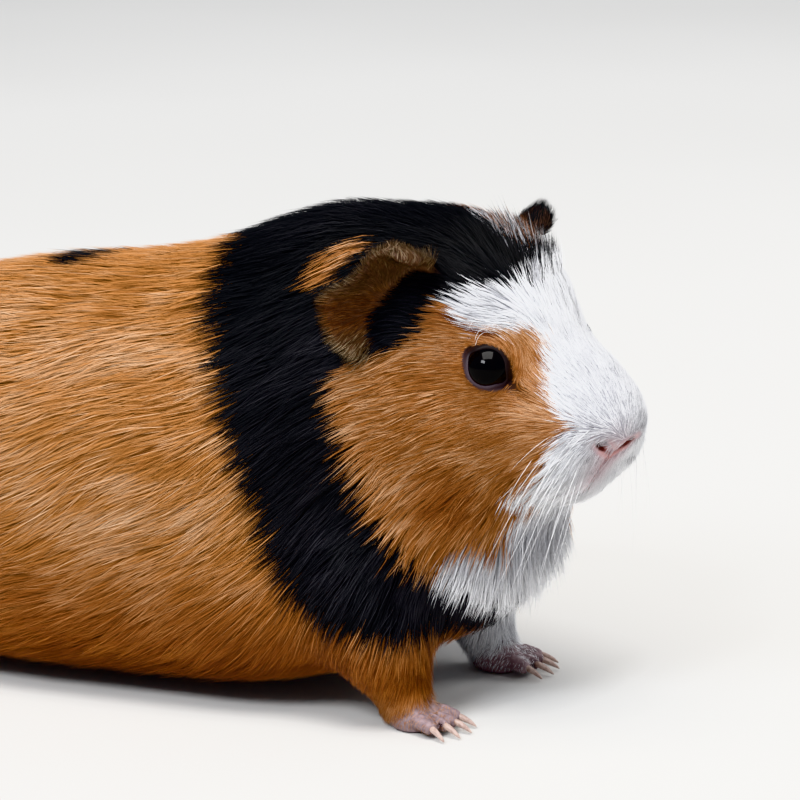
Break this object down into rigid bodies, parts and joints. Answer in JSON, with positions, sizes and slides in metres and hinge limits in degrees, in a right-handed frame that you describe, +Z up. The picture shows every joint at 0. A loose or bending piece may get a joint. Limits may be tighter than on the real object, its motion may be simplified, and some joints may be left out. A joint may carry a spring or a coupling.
{
  "type": "guinea pig",
  "caption": "Still life-size smooth-coated guinea pig in ginger, black and white, resting low on its feet with its head raised and turned a little to its right.",
  "frame": {"origin": "on the floor under the middle of the animal's overall box", "axes": "+X towards the nose along the body, +Y to the animal's left, +Z up"},
  "size_m": [0.2264, 0.0902, 0.1044],
  "materials": {
    "ginger_coat": "short sleek fur, ginger with paler tips",
    "black_coat": "short sleek fur, black with a soft sheen",
    "white_coat": "short sleek fur, white",
    "bare_skin": "thin greyish pink skin with very short hairs",
    "eye": "wet, black and very glossy",
    "claw": "pale translucent horn"
  },
  "bodies": {
    "root": {"rump": "ginger_coat", "trunk": "ginger_coat", "shoulders": "ginger_coat", "neck": "black_coat", "head": "ginger_coat", "muzzle": "white_coat", "chin": "white_coat", "eye_right": "eye", "eye_left": "eye", "ear_right": "bare_skin", "ear_left": "bare_skin", "foreleg_right": "ginger_coat", "foreleg_left": "ginger_coat", "forefoot_right": "bare_skin", "forefoot_left": "bare_skin", "foreclaw_right_1": "claw", "foreclaw_right_2": "claw", "foreclaw_right_3": "claw", "foreclaw_right_4": "claw", "foreclaw_left_1": "claw", "foreclaw_left_2": "claw", "foreclaw_left_3": "claw", "foreclaw_left_4": "claw", "hindleg_right": "ginger_coat", "hindleg_left": "ginger_coat", "hindfoot_right": "bare_skin", "hindfoot_left": "bare_skin", "hindclaw_right_1": "claw", "hindclaw_right_2": "claw", "hindclaw_right_3": "claw", "hindclaw_left_1": "claw", "hindclaw_left_2": "claw", "hindclaw_left_3": "claw"}
  },
  "joints": []
}
